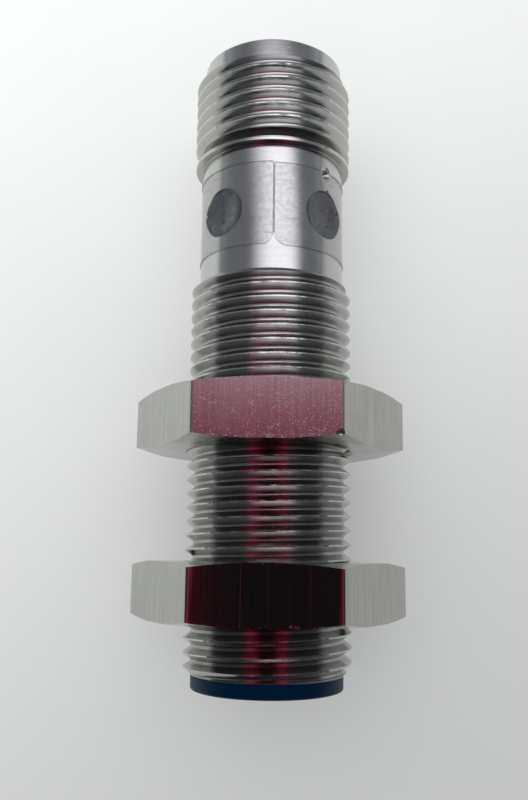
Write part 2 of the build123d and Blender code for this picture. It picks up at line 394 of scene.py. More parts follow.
def drill_key_mark(barrel):
    """Dimple with an eased rim, in line with the coding key, and a nick between it and a window."""
    steps = 40
    over = NECK_R + 0.1 * MM
    ease_low = NECK_R - 0.06 * MM
    ease_r = 0.5 * MM
    cut(barrel, radial_drill(KEY_ANGLE, KEY_MARK_Y, ease_r, KEY_MARK_R + 0.1 * MM, ease_low, over, steps))
    dimple_low = NECK_R - KEY_MARK_DEPTH
    dimple_r = 0.58 * MM
    point_r = 0.02 * MM
    cut(barrel, radial_drill(KEY_ANGLE, KEY_MARK_Y, point_r, dimple_r, dimple_low, over, steps))
    nick_r = 0.16 * MM
    nick = on_barrel(KEY_ANGLE + math.radians(2), NECK_R + 0.05 * MM, WINDOW_Y + WINDOW_R + 0.05 * MM)
    cut(barrel, ball(nick, nick_r))


def burr_crests(barrel):
    """Uneven crest edges left by the thread tool."""
    crest_low = CREST_R - 0.005 * MM
    crests = []
    for point in barrel.data.vertices:
        threaded = not THREAD_END < point.co.y < UNDERCUT_END
        if threaded and math.hypot(point.co.x, point.co.z) > crest_low:
            crests.append(point.index)
    barrel.vertex_groups.new(name="crests").add(crests, 1, "REPLACE")
    burrs = bpy.data.textures.new("burrs", "CLOUDS")
    burrs.noise_scale = BURR_SPACING
    burrs.noise_depth = 2
    apply_modifier(
        barrel,
        "DISPLACE",
        texture=burrs,
        texture_coords="LOCAL",
        vertex_group="crests",
        mid_level=1,
        strength=BURR_REACH,
    )


# ---------------- nuts
def nut_envelope(name, front, back):
    """Cone-faced disc that the hexagon is trimmed by."""
    over = 0.3 * MM
    drop = (NUT_CORNER_R + over - NUT_CHAMFER_R) * NUT_CHAMFER_SLOPE
    outline = [
        (0, front),
        (NUT_CHAMFER_R, front),
        (NUT_CORNER_R + over, front + drop),
        (NUT_CORNER_R + over, back - drop),
        (NUT_CHAMFER_R, back),
        (0, back),
    ]
    return turned(name, outline, NUT_STEPS)


def hexagon_bar(front, back):
    """Six-sided bar along the barrel, flats up and down, its long edges rounded."""
    clear_selection()
    bpy.ops.mesh.primitive_cylinder_add(
        vertices=6,
        radius=NUT_CORNER_R,
        depth=back - front + 2 * MM,
        location=(0, 0, 0),
    )
    bar = bpy.context.object
    bpy.ops.object.mode_set(mode="EDIT")
    bpy.ops.mesh.select_mode(type="EDGE")
    bpy.ops.mesh.select_all(action="DESELECT")
    bpy.ops.object.mode_set(mode="OBJECT")
    corners = bar.data.vertices
    for edge in bar.data.edges:
        low, high = (corners[i].co.z for i in edge.vertices)
        edge.select = abs(high - low) > MM
    bpy.ops.object.mode_set(mode="EDIT")
    bpy.ops.mesh.bevel(offset=NUT_EDGE, segments=3, affect="EDGES")
    bpy.ops.mesh.select_mode(type="VERT")
    bpy.ops.object.mode_set(mode="OBJECT")
    lay_down = Matrix.Rotation(math.pi / 2, 4, "X") @ Matrix.Rotation(math.pi / 6, 4, "Z")
    bar.data.transform(Matrix.Translation((0, (front + back) / 2, 0)) @ lay_down)
    return bar


def nut_bore(front, back):
    """Bore at the thread's minor size, opening at both mouths."""
    mouth_r = NUT_MINOR_R + NUT_MOUTH
    outline = [
        (0, front - MM),
        (mouth_r + MM, front - MM),
        (mouth_r, front),
        (NUT_MINOR_R, front + NUT_MOUTH),
        (NUT_MINOR_R, back - NUT_MOUTH),
        (mouth_r, back),
        (mouth_r + MM, back + MM),
        (0, back + MM),
    ]
    return turned("bore", outline)


def nut_thread(front):
    """Groove of the inside thread, in step with the barrel's crests."""
    low = NUT_MINOR_R - 0.2 * MM
    half_top = 0.1 * MM
    half_low = half_top + (NUT_MAJOR_R - low) * FLANK_SLOPE
    first = (math.floor(front / PITCH) - 1) * PITCH + CREST_PHASE + PITCH / 4
    section = [
        (low, first - half_low),
        (NUT_MAJOR_R, first - half_top),
        (NUT_MAJOR_R, first + half_top),
        (low, first + half_low),
    ]
    return wound("nut_groove", section, 0, NUT_GROOVE_TURNS, PITCH)


def make_nut(node, nick=None):
    """Threaded hexagon nut over a CAD node's place, with one corner torn where a nick is given."""
    low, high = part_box(node)
    nut = nut_envelope(node + "_body", low.y, high.y)
    cut(nut, hexagon_bar(low.y, high.y), "INTERSECT")
    cut(nut, nut_bore(low.y, high.y))
    cut(nut, nut_thread(low.y))
    if nick:
        cut(nut, ball(nick, NUT_NICK_R))
    smooth(nut)
    return nut


# ---------------- sensing face
def make_cap():
    """Cup-shaped cap with a rounded rim, a shallow gate mark and a sleeve that plugs the barrel."""
    gate_r = 0.45 * MM
    gate_depth = 0.06 * MM
    ring_r = 4.55 * MM
    ring = 0.05 * MM
    outline = [
        (0, gate_depth),
        (gate_r, gate_depth),
        (gate_r + gate_depth, 0),
        (ring_r, 0),
        (ring_r + ring, 0.6 * ring),
        (ring_r + 2 * ring, 0),
        (CAP_R - 0.2 * MM, 0),
        (CAP_R - 0.08 * MM, 0.04 * MM),
        (CAP_R - 0.02 * MM, 0.11 * MM),
        (CAP_R, 0.22 * MM),
        (CAP_R, CAP_RIM - 0.1 * MM),
        (CAP_R - 0.05 * MM, CAP_RIM - 0.02 * MM),
        (CAP_SLEEVE_R, CAP_RIM - 0.02 * MM),
        (CAP_SLEEVE_R, CAP_LENGTH - 0.2 * MM),
        (CAP_SLEEVE_R - 0.12 * MM, CAP_LENGTH),
        (CAP_INNER_R, CAP_LENGTH),
        (CAP_INNER_R, CAP_FACE),
        (0, CAP_FACE),
    ]
    cap = turned("face_cap", outline)
    smooth(cap, 32)
    return cap


# ---------------- neck fittings
def make_light_guide():
    """Smoked ring with four studs that fill the windows, each with a dished top and bubbles."""
    chamfer = 0.15 * MM
    back = GUIDE_Y + GUIDE_LENGTH
    outline = [
        (GUIDE_INNER_R, GUIDE_Y),
        (GUIDE_R - chamfer, GUIDE_Y),
        (GUIDE_R, GUIDE_Y + chamfer),
        (GUIDE_R, back - chamfer),
        (GUIDE_R - chamfer, back),
        (GUIDE_INNER_R, back),
    ]
    guide = turned("window_light_guide", outline, 96)
    chance = random.Random(12)
    for angle in WINDOW_ANGLES:
        stud = radial_drill(angle, WINDOW_Y, STUD_R, STUD_R, STUD_FOOT, STUD_TOP)
        dish_centre = on_barrel(angle, STUD_TOP + STUD_DISH_R - STUD_DISH_DEPTH, WINDOW_Y)
        cut(stud, ball(dish_centre, STUD_DISH_R, 5))
        for _ in range(STUD_BUBBLES):
            out = STUD_R * 0.92 * math.sqrt(chance.random())
            way = FULL_TURN * chance.random()
            size = (0.06 + 0.16 * chance.random() ** 2) * MM
            across = out * math.cos(way)
            along = out * math.sin(way)
            spot = Vector((across, WINDOW_Y + along, STUD_TOP - 0.1 * MM))
            cut(stud, ball(Matrix.Rotation(angle, 4, "Y") @ spot, size))
        cut(guide, stud, "UNION")
    smooth(guide, 25)
    return guide


def film_corner_tool(angle):
    """Cutter that rounds the film's four corners where its ends meet."""
    gap = FILM_GAP / 2
    margin = 0.4 * MM
    points = []
    quarter_steps = 8
    for side, end in ((1, 1), (1, -1), (-1, -1), (-1, 1)):
        corner = FILM_TOP_CORNER if end > 0 else FILM_CORNER
        turn_y = FILM_END - corner + FILM_SKEW if end > 0 else FILM_Y + corner
        arc = []
        for step in range(quarter_steps + 1):
            bend = math.pi / 2 * step / quarter_steps
            x = side * (gap + corner * (1 - math.cos(bend)))
            arc.append((x, turn_y + end * corner * math.sin(bend)))
        rim = (arc[-1][0], arc[-1][1] + end * margin)
        points += [rim] + arc[::-1] if (side, end) in ((1, 1), (-1, -1)) else arc + [rim]
    outline = [(x, y, 5 * MM) for x, y in points]
    tool = start_point("film_cutter", outline[0])
    draw_line(outline)
    bpy.ops.mesh.select_all(action="SELECT")
    bpy.ops.mesh.edge_face_add()
    bpy.ops.mesh.extrude_region_move(TRANSFORM_OT_translate={"value": (0, 0, MM)})
    merge_and_face_out()
    tool.data.transform(Matrix.Rotation(angle, 4, "Y"))
    return tool


def make_film():
    """Clear strip wound once round the neck, a little askew, so its ends meet with a small step."""
    inner = FILM_INNER_R
    opening = FILM_GAP / FILM_R
    end = FILM_END - FILM_SKEW
    section = [(inner, FILM_Y), (FILM_R, FILM_Y), (FILM_R, end), (inner, end)]
    start = SEAM_ANGLE + opening / 2 - math.pi / 2
    film = wound("neck_film", section, start, 1, FILM_SKEW, FULL_TURN - opening, TURN_STEPS)
    cut(film, film_corner_tool(SEAM_ANGLE))
    round_edges(film, 0.03 * MM, 1, 50)
    smooth(film)
    return film


# ---------------- plug end
def at_pin(piece, angle):
    """Move a piece from the barrel's axis to the place of the pin at an angle."""
    piece.data.transform(Matrix.Translation(on_barrel(angle, PIN_CIRCLE, 0)))
    return piece


def make_insert():
    """Pin carrier: flanged disc with a seal groove, recesses round the pins and the coding key."""
    groove_low, groove_high, groove_r = INSERT_GROOVE
    edge = 0.1 * MM
    rim_r = 3.95 * MM
    recess = 0.25 * MM
    outline = [
        (0, INSERT_Y),
        (INSERT_FLANGE_R - edge, INSERT_Y),
        (INSERT_FLANGE_R, INSERT_Y + edge),
        (INSERT_FLANGE_R, groove_low),
        (groove_r, groove_low),
        (groove_r, groove_high),
        (INSERT_FLANGE_R, groove_high),
        (INSERT_FLANGE_R, SOCKET_SHOULDER),
        (INSERT_R, SOCKET_SHOULDER),
        (INSERT_R, INSERT_FACE - edge),
        (INSERT_R - edge, INSERT_FACE),
        (rim_r + edge, INSERT_FACE),
        (rim_r, INSERT_FACE - recess),
        (0, INSERT_FACE - recess),
    ]
    insert = turned("pin_carrier", outline)
    boss_foot = INSERT_FACE - 2 * recess
    boss_outline = [
        (0, boss_foot),
        (0.95 * MM, boss_foot),
        (0.9 * MM, INSERT_FACE - edge),
        (0.8 * MM, INSERT_FACE),
        (0, INSERT_FACE),
    ]
    for angle in PIN_ANGLES:
        cut(insert, at_pin(turned("boss", boss_outline, SMALL_STEPS), angle), "UNION")
    over = INSERT_FACE + 0.1 * MM
    hole_outline = [
        (0, INSERT_Y - MM),
        (PIN_R, INSERT_Y - MM),
        (PIN_R, INSERT_FACE - 0.18 * MM),
        (PIN_R + 0.28 * MM, over),
        (0, over),
    ]
    for angle in PIN_ANGLES:
        cut(insert, at_pin(turned("hole", hole_outline, SMALL_STEPS), angle))
    centre_r = 0.55 * MM
    centre_low = INSERT_FACE - 1.2 * MM
    centre_outline = [(0, centre_low), (centre_r, centre_low), (centre_r, INSERT_FACE), (0, INSERT_FACE)]
    cut(insert, turned("centre_hole", centre_outline, SMALL_STEPS))
    cut(insert, make_key(), "UNION")
    smooth(insert)
    return insert


def make_key():
    """Coding rib that runs along the socket's wall, its edges rounded."""
    clear_selection()
    low_y = INSERT_FACE - 0.5 * MM
    outer = SOCKET_R - 0.03 * MM
    bpy.ops.mesh.primitive_cube_add(size=1, location=(0, 0, 0))
    key = bpy.context.object
    key.data.transform(Matrix.Diagonal((KEY_WIDTH, KEY_END - low_y, outer - KEY_INNER_R, 1)))
    place = Matrix.Translation((0, (low_y + KEY_END) / 2, (KEY_INNER_R + outer) / 2))
    key.data.transform(Matrix.Rotation(KEY_ANGLE, 4, "Y") @ place)
    round_edges(key, 0.15 * MM, 3)
    wall = turned("wall", [(0, 0), (outer, 0), (outer, PLUG_END), (0, PLUG_END)])
    cut(key, wall, "INTERSECT")
    return key


def make_pins():
    """Turned pins with a thinner tail, a shallow groove near the root and a bullet tip."""
    shoulder = 36.0 * MM
    outline = [
        (0, PIN_START),
        (PIN_TAIL_R - 0.06 * MM, PIN_START),
        (PIN_TAIL_R, PIN_START + 0.06 * MM),
        (PIN_TAIL_R, shoulder),
        (PIN_R - 0.05 * MM, shoulder),
        (PIN_R, shoulder + 0.05 * MM),
        (PIN_R, INSERT_FACE + 0.25 * MM),
        (PIN_R - 0.03 * MM, INSERT_FACE + 0.3 * MM),
        (PIN_R - 0.03 * MM, INSERT_FACE + 0.5 * MM),
        (PIN_R, INSERT_FACE + 0.55 * MM),
        (PIN_R, PIN_TIP - 0.62 * MM),
        (PIN_R - 0.04 * MM, PIN_TIP - 0.4 * MM),
        (PIN_R - 0.13 * MM, PIN_TIP - 0.18 * MM),
        (PIN_R - 0.25 * MM, PIN_TIP - 0.05 * MM),
        (PIN_R - 0.36 * MM, PIN_TIP - 0.01 * MM),
        (0, PIN_TIP),
    ]
    first = turned("pin_1", outline, 40)
    smooth(first, 40)
    pins = [first]
    for number in (2, 3, 4):
        pin = first.copy()
        pin.data = first.data.copy()
        pin.name = f"pin_{number}"
        bpy.context.scene.collection.objects.link(pin)
        pins.append(pin)
    return [at_pin(pin, angle) for pin, angle in zip(pins, PIN_ANGLES)]


# ---------------- material tools
def add(tree, kind, inputs=None, **settings):
    """Place a shader node; an input is a constant or another node's output."""
    made = tree.nodes.new("ShaderNode" + kind)
    for key, value in settings.items():
        setattr(made, key, value)
    for key, value in (inputs or {}).items():
        if isinstance(value, bpy.types.NodeSocket):
            tree.links.new(value, made.inputs[key])
        else:
            made.inputs[key].default_value = value
    return made


def maths(tree, operation, first, second=0):
    return add(tree, "Math", {0: first, 1: second}, operation=operation).outputs[0]


def span(tree, value, low, high):
    """Carry a 0 to 1 value to the range low to high."""
    return add(tree, "MapRange", {"Value": value, "To Min": low, "To Max": high}).outputs[0]


def ramp(tree, value, none_at, full_at):
    """Straight rise from 0 at one level to 1 at another."""
    return add(tree, "MapRange", {"Value": value, "From Min": none_at, "From Max": full_at}).outputs[0]


def zone(tree, value, none_at, full_at):
    """Soft mask that rises from 0 at one place to 1 at another."""
    rise = {"Value": value, "From Min": none_at, "From Max": full_at}
    return add(tree, "MapRange", rise, interpolation_type="SMOOTHSTEP").outputs[0]


def part_of(tree, vector, axis):
    """One axis of a vector."""
    return add(tree, "SeparateXYZ", {0: vector}).outputs[axis]


def stretch(tree, vector, scale):
    """Coordinates multiplied by a scale for each axis."""
    return add(tree, "VectorMath", {0: vector, 1: scale}, operation="MULTIPLY").outputs[0]


def noise(tree, vector, scale, detail, roughness=0.5):
    """Outputs of a cloudy noise: its level, then its colour."""
    inputs = {"Vector": vector, "Scale": scale, "Detail": detail, "Roughness": roughness}
    return add(tree, "TexNoise", inputs).outputs


def new_group(name, inputs, outputs):
    """Node group with a vector input, some more inputs and number outputs."""
    tree = bpy.data.node_groups.new(name, "ShaderNodeTree")
    for label, kind, value in [("Vector", "Vector", None)] + inputs:
        socket = tree.interface.new_socket(label, in_out="INPUT", socket_type="NodeSocket" + kind)
        if value is not None:
            socket.default_value = value
    for label in outputs:
        tree.interface.new_socket(label, in_out="OUTPUT", socket_type="NodeSocketFloat")
    entry = tree.nodes.new("NodeGroupInput").outputs
    leave = tree.nodes.new("NodeGroupOutput").inputs
    return tree, entry, leave


def build_machined_lines():
    """Fine tool lines: noise stretched by a scale for each axis."""
    tree, entry, leave = new_group("machined_lines", [("Scale", "Vector", (1, 1, 1))], ["Lines", "Broad"])
    spread = stretch(tree, entry["Vector"], entry["Scale"])
    wide = add(tree, "VectorMath", {0: spread, "Scale": 0.17}, operation="SCALE").outputs[0]
    tree.links.new(noise(tree, spread, 1, 3, 0.6)[0], leave["Lines"])
    tree.links.new(noise(tree, wide, 1, 2)[0], leave["Broad"])
    return tree


def build_wear_patches():
    """Soft blotches between a low and a high level of noise."""
    inputs = [("Scale", "Float", 300), ("Low", "Float", 0.45), ("High", "Float", 0.65)]
    tree, entry, leave = new_group("wear_patches", inputs, ["Patches"])
    cloud = noise(tree, entry["Vector"], entry["Scale"], 6, 0.65)[0]
    tree.links.new(ramp(tree, cloud, entry["Low"], entry["High"]), leave["Patches"])
    return tree


def build_fine_scratches():
    """Thin broken lines along the edges of stretched, wandering cells."""
    inputs = [("Scale", "Vector", (1, 1, 1)), ("Width", "Float", 0.03)]
    tree, entry, leave = new_group("fine_scratches", inputs, ["Scratches"])
    spread = stretch(tree, entry["Vector"], entry["Scale"])
    wander = noise(tree, spread, 0.6, 2)[1]
    bent = add(tree, "VectorMath", {0: wander, "Scale": 0.9}, operation="SCALE").outputs[0]
    moved = add(tree, "VectorMath", {0: spread, 1: bent}, operation="ADD").outputs[0]
    cells = add(tree, "TexVoronoi", {"Vector": moved, "Scale": 1}, feature="DISTANCE_TO_EDGE")
    thin = ramp(tree, cells.outputs["Distance"], entry["Width"], 0)
    some = ramp(tree, noise(tree, spread, 1.7, 1)[0], 0.5, 0.62)
    tree.links.new(maths(tree, "MULTIPLY", thin, some), leave["Scratches"])
    return tree


def build_barrel_depth():
    """How far a point lies from one radius about the barrel's axis to another, and its own radius."""
    inputs = [("Top", "Float", 1), ("Bottom", "Float", 0)]
    tree, entry, leave = new_group("barrel_depth", inputs, ["Depth", "Radius"])
    flat = stretch(tree, entry["Vector"], (1, 0, 1))
    reach = add(tree, "VectorMath", {0: flat}, operation="LENGTH").outputs["Value"]
    tree.links.new(ramp(tree, reach, entry["Top"], entry["Bottom"]), leave["Depth"])
    tree.links.new(reach, leave["Radius"])
    return tree


def build_moulded_grain():
    """Very fine pebble grain of a moulded or sintered surface."""
    tree, entry, leave = new_group("moulded_grain", [("Scale", "Float", 9000)], ["Grain"])
    tree.links.new(noise(tree, entry["Vector"], entry["Scale"], 2)[0], leave["Grain"])
    return tree


def build_die_lines():
    """Single long score lines at uneven spacings across the flats."""
    inputs = [("Spacing", "Float", 500), ("Width", "Float", 0.03)]
    tree, entry, leave = new_group("die_lines", inputs, ["Marks"])
    across = add(tree, "SeparateXYZ", {0: entry["Vector"]}).outputs
    slanted = maths(tree, "ADD", across["X"], maths(tree, "MULTIPLY", across["Z"], 1.37))
    row = {"W": maths(tree, "MULTIPLY", slanted, entry["Spacing"]), "Scale": 1}
    cells = add(tree, "TexVoronoi", row, feature="DISTANCE_TO_EDGE", voronoi_dimensions="1D")
    tree.links.new(ramp(tree, cells.outputs["Distance"], entry["Width"], 0), leave["Marks"])
    return tree


GROUPS = {
    "lines": build_machined_lines(),
    "patches": build_wear_patches(),
    "scratches": build_fine_scratches(),
    "depth": build_barrel_depth(),
    "grain": build_moulded_grain(),
    "die_lines": build_die_lines(),
}


def effect(tree, name, inputs):
    """Outputs of one of the shared effects, placed in a material."""
    return add(tree, "Group", inputs, node_tree=GROUPS[name]).outputs


def tool_lines(tree, place, scale):
    return effect(tree, "lines", {"Vector": place, "Scale": scale})


def patches(tree, place, scale, low, high):
    return effect(tree, "patches", {"Vector": place, "Scale": scale, "Low": low, "High": high})["Patches"]


def scratches(tree, place, scale, width):
    return effect(tree, "scratches", {"Vector": place, "Scale": scale, "Width": width})["Scratches"]


def depth(tree, place, top, bottom):
    return effect(tree, "depth", {"Vector": place, "Top": top, "Bottom": bottom})


def grain(tree, place, scale):
    return effect(tree, "grain", {"Vector": place, "Scale": scale})["Grain"]


def mix_colour(tree, factor, first, second):
    """Blend two colours; the mix node keeps them in its sockets 6 and 7."""
    made = add(tree, "Mix", data_type="RGBA")
    for socket, value in ((made.inputs[0], factor), (made.inputs[6], first), (made.inputs[7], second)):
        if isinstance(value, bpy.types.NodeSocket):
            tree.links.new(value, socket)
        else:
            socket.default_value = (*value, 1) if isinstance(value, tuple) else value
    return made.outputs[2]


def new_material(name, metallic=0.0, **sockets):
    """Material, its tree, its shader and the piece's own coordinates; a socket's spaces are underscores."""
    made = bpy.data.materials.new(name)
    made.use_nodes = True
    tree = made.node_tree
    shader = tree.nodes["Principled BSDF"]
    shader.inputs["Metallic"].default_value = metallic
    for key, value in sockets.items():
        shader.inputs[key.replace("_", " ")].default_value = value
    place = add(tree, "TexCoord").outputs["Object"]
    return made, tree, shader, place


def finish(tree, shader, colour, rough):
    """Let a colour and a roughness vary over the surface."""
    tree.links.new(colour, shader.inputs["Base Color"])
    tree.links.new(rough, shader.inputs["Roughness"])


def bump(tree, shader, height, distance):
    """Raise the surface by a height that varies over it."""
    made = add(tree, "Bump", {"Height": height, "Distance": distance, "Strength": 1})
    tree.links.new(made.outputs[0], shader.inputs["Normal"])


# ---------------- materials
def turned_nickel():
    """Bright plated barrel: lathe lines round it, grime and painted shade in the thread roots, light stains.
    """
    made, tree, shader, place = new_material("turned_nickel", 1.0)
    lines = tool_lines(tree, place, (120, 14000, 120))
    stains = patches(tree, place, 420, 0.48, 0.7)
    sunk = depth(tree, place, CREST_R - 0.04 * MM, CREST_R - 0.36 * MM)
    crest = depth(tree, place, CREST_R - 0.09 * MM, CREST_R - 0.03 * MM)["Depth"]
    in_thread = maths(tree, "GREATER_THAN", sunk["Radius"], ROOT_R - 0.02 * MM)
    at_plug = zone(tree, part_of(tree, place, "Y"), THREAD_END, UNDERCUT_END)
    # Thread roots are darkened by grime and by painted shade in the recesses, varied by the stains and weaker
    # towards the plug.
    root_grime_and_shade = maths(tree, "MULTIPLY", sunk["Depth"], span(tree, stains, 0.45, 0.9))
    root_grime_and_shade = maths(tree, "MULTIPLY", root_grime_and_shade, in_thread)
    root_grime_and_shade = maths(tree, "MULTIPLY", root_grime_and_shade, span(tree, at_plug, 1, 0.35))
    plate = mix_colour(tree, lines["Broad"], (0.46, 0.465, 0.44), (0.54, 0.545, 0.52))
    grimed_and_shaded = mix_colour(tree, root_grime_and_shade, plate, (0.2, 0.195, 0.19))
    # Crests are lifted to a brighter metal, partly as wear and partly as a painted highlight along the crest
    # lines.
    worn = mix_colour(tree, span(tree, crest, 0, 0.7), grimed_and_shaded, (0.6, 0.6, 0.57))
    satin = maths(tree, "SUBTRACT", span(tree, stains, 0.2, 0.25), span(tree, in_thread, 0, 0.07))
    smear = maths(tree, "ADD", satin, span(tree, root_grime_and_shade, 0, 0.13))
    finish(tree, shader, worn, maths(tree, "ADD", smear, span(tree, lines["Lines"], -0.04, 0.04)))
    burr = tool_lines(tree, place, (5000, 9000, 5000))["Lines"]
    burrs = maths(tree, "MULTIPLY", crest, span(tree, burr, 0, 6))
    burrs = maths(tree, "MULTIPLY", burrs, span(tree, at_plug, 1, 0.4))
    lathed = maths(tree, "MULTIPLY", lines["Lines"], span(tree, in_thread, 1, 3.5))
    marks = maths(tree, "SUBTRACT", lathed, scratches(tree, place, (900, 2600, 900), 0.02))
    bump(tree, shader, maths(tree, "ADD", marks, burrs), 0.002 * MM)
    return made


def nut_nickel(name, polish, scratch_width, scratch_depth, speck_low, nut):
    """Plated hexagon bar: drawn lines along the flats, turned rings on the end faces, burred edges."""
    made, tree, shader, place = new_material(name, 1.0)
    drawn = tool_lines(tree, place, (9000, 130, 9000))["Lines"]
    radius = depth(tree, place, 1, 0)["Radius"]
    ring_place = add(tree, "CombineXYZ", {"X": radius}).outputs[0]
    rings = tool_lines(tree, ring_place, (13000, 1, 1))["Lines"]
    normal_y = part_of(tree, add(tree, "NewGeometry").outputs["Normal"], "Y")
    end_face = maths(tree, "GREATER_THAN", maths(tree, "ABSOLUTE", normal_y), 0.7)
    lines = add(tree, "Mix", {0: end_face, 2: drawn, 3: rings}).outputs[0]
    stains = patches(tree, place, 300, 0.45, 0.72)
    specks = patches(tree, place, 8200, speck_low, speck_low + 0.12)
    scuffs = scratches(tree, place, (1300, 1000, 1300), scratch_width)
    along = part_of(tree, place, "Y")
    front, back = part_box(nut)[0].y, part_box(nut)[1].y
    front_rim = zone(tree, along, front + 0.4 * MM, front + 0.15 * MM)
    back_rim = zone(tree, along, back - 0.25 * MM, back)
    torn = patches(tree, place, 3000, 0.56, 0.7)
    burrs = maths(tree, "MULTIPLY", maths(tree, "ADD", front_rim, back_rim), torn)
    burrs = maths(tree, "MULTIPLY", burrs, maths(tree, "SUBTRACT", 1, end_face))
    marks = maths(tree, "MAXIMUM", specks, burrs)
    plate = mix_colour(tree, span(tree, drawn, -0.6, 1.6), (0.35, 0.355, 0.325), (0.51, 0.515, 0.475))
    dulled = mix_colour(tree, span(tree, stains, 0, 0.3), plate, (0.34, 0.335, 0.31))
    worn = mix_colour(tree, marks, dulled, (0.56, 0.54, 0.52))
    smear = maths(tree, "ADD", span(tree, stains, polish, polish + 0.06), span(tree, lines, -0.03, 0.03))
    rough = maths(tree, "ADD", smear, span(tree, scuffs, 0, 0.1))
    finish(tree, shader, worn, maths(tree, "ADD", rough, span(tree, marks, 0, 0.25)))
    scores = effect(tree, "die_lines", {"Vector": place, "Spacing": 330, "Width": 0.012})["Marks"]
    relief = maths(tree, "SUBTRACT", lines, span(tree, scuffs, 0, scratch_depth))
    relief = maths(tree, "SUBTRACT", relief, span(tree, scores, 0, 0.8))
    bump(tree, shader, maths(tree, "ADD", relief, span(tree, marks, 0, 2)), 0.004 * MM)
    return made


def grained(name, light, dark, mottle_scale, rough_low, rough_high, grain_scale, grain_height, **sockets):
    """Moulded, fired, cast or cured surface: mottled colour, uneven gloss and a fine grain."""
    made, tree, shader, place = new_material(name, **sockets)
    mottle = patches(tree, place, mottle_scale, 0.35, 0.7)
    pebble = grain(tree, place, grain_scale)
    blend = maths(tree, "ADD", span(tree, mottle, 0, 0.75), span(tree, pebble, 0, 0.25))
    finish(tree, shader, mix_colour(tree, blend, light, dark), span(tree, blend, rough_low, rough_high))
    bump(tree, shader, pebble, grain_height)
    return made


def striped_metal(name, light, dark, stripe, rough_low, rough_high, height):
    """Metal with close rings or turns across the barrel's axis."""
    made, tree, shader, place = new_material(name, 1.0)
    lines = tool_lines(tree, place, stripe)["Lines"]
    mottle = patches(tree, place, 700, 0.4, 0.7)
    blend = maths(tree, "MULTIPLY", lines, span(tree, mottle, 0.6, 1.0))
    finish(tree, shader, mix_colour(tree, blend, light, dark), span(tree, blend, rough_low, rough_high))
    bump(tree, shader, lines, height)
    return made


def solder_masked_board():
    """Green laminate with raised tracks, square pads and a woven grain."""
    made, tree, shader, place = new_material("solder_masked_board")
    pads = add(tree, "TexBrick", {"Vector": place, "Scale": 900, "Mortar Size": 0.05}).outputs["Fac"]
    tracks = scratches(tree, place, (700, 500, 700), 0.09)
    weave = grain(tree, place, 5000)
    mask = mix_colour(tree, weave, (0.01, 0.13, 0.05), (0.015, 0.2, 0.08))
    finish(tree, shader, mix_colour(tree, tracks, mask, (0.06, 0.32, 0.14)), span(tree, weave, 0.28, 0.42))
    bump(tree, shader, maths(tree, "ADD", tracks, pads), 0.01 * MM)
    return made


def smoked_plastic():
    """Grey clear plastic with faint clouds in it and scuffs on it."""
    made, tree, shader, place = new_material("smoked_plastic", IOR=1.5, Transmission_Weight=0.75)
    cloud = patches(tree, place, 900, 0.4, 0.75)
    scuffs = scratches(tree, place, (1600, 1600, 1600), 0.03)
    colour = mix_colour(tree, cloud, (0.16, 0.17, 0.2), (0.3, 0.31, 0.35))
    finish(tree, shader, colour, maths(tree, "ADD", span(tree, cloud, 0.06, 0.2), span(tree, scuffs, 0, 0.2)))
    bump(tree, shader, cloud, 0.01 * MM)
    return made


def clear_film():
    """Thin clear film: faint haze, fine rub marks, and painted shade at its cut edges and where its ends
    meet.
    """
    made, tree, shader, place = new_material("clear_film", IOR=1.48)
    haze = patches(tree, place, 500, 0.4, 0.7)
    rubs = scratches(tree, place, (700, 1500, 700), 0.02)
    pebble = grain(tree, place, 3600)
    # Painted shade: the cut edges and a strip beside the seam are coloured dark and made less clear.
    skin = 0.01 * MM
    below = depth(tree, place, FILM_R - 0.3 * skin, FILM_R - skin)["Depth"]
    above = depth(tree, place, FILM_INNER_R + 0.3 * skin, FILM_INNER_R + skin)["Depth"]
    edge = maths(tree, "MULTIPLY", below, above)
    to_seam = {"Vector": place, "Angle": -SEAM_ANGLE}
    off_seam = add(tree, "VectorRotate", to_seam, rotation_type="Y_AXIS").outputs[0]
    beside = add(tree, "SeparateXYZ", {0: off_seam}).outputs
    seam = zone(tree, maths(tree, "ABSOLUTE", beside["X"]), FILM_SEAM_SHADE_WIDTH, 0.3 * FILM_SEAM_SHADE_WIDTH)
    seam = maths(tree, "MULTIPLY", seam, maths(tree, "GREATER_THAN", beside["Z"], 0))
    edge = maths(tree, "MAXIMUM", edge, maths(tree, "MULTIPLY", seam, span(tree, haze, 0.5, 1)))
    clear = mix_colour(tree, haze, (0.2, 0.21, 0.24), (0.34, 0.35, 0.4))
    finish(tree, shader, mix_colour(tree, edge, clear, (0.03, 0.032, 0.036)), span(tree, haze, 0.2, 0.32))
    cover = maths(tree, "ADD", span(tree, pebble, 0, 0.13), span(tree, rubs, 0, 0.1))
    tree.links.new(maths(tree, "ADD", cover, span(tree, edge, 0, 0.75)), shader.inputs["Alpha"])
    bump(tree, shader, maths(tree, "ADD", span(tree, haze, 0, 0.25), pebble), 0.009 * MM)
    return made


def lamp_lens():
    """Yellow-green lens of a lamp that is off."""
    made, tree, shader, place = new_material("status_lens", IOR=1.5, Transmission_Weight=0.4)
    cloud = patches(tree, place, 1500, 0.4, 0.7)
    colour = mix_colour(tree, cloud, (0.75, 0.72, 0.4), (0.85, 0.83, 0.6))
    finish(tree, shader, colour, span(tree, cloud, 0.1, 0.25))
    return made


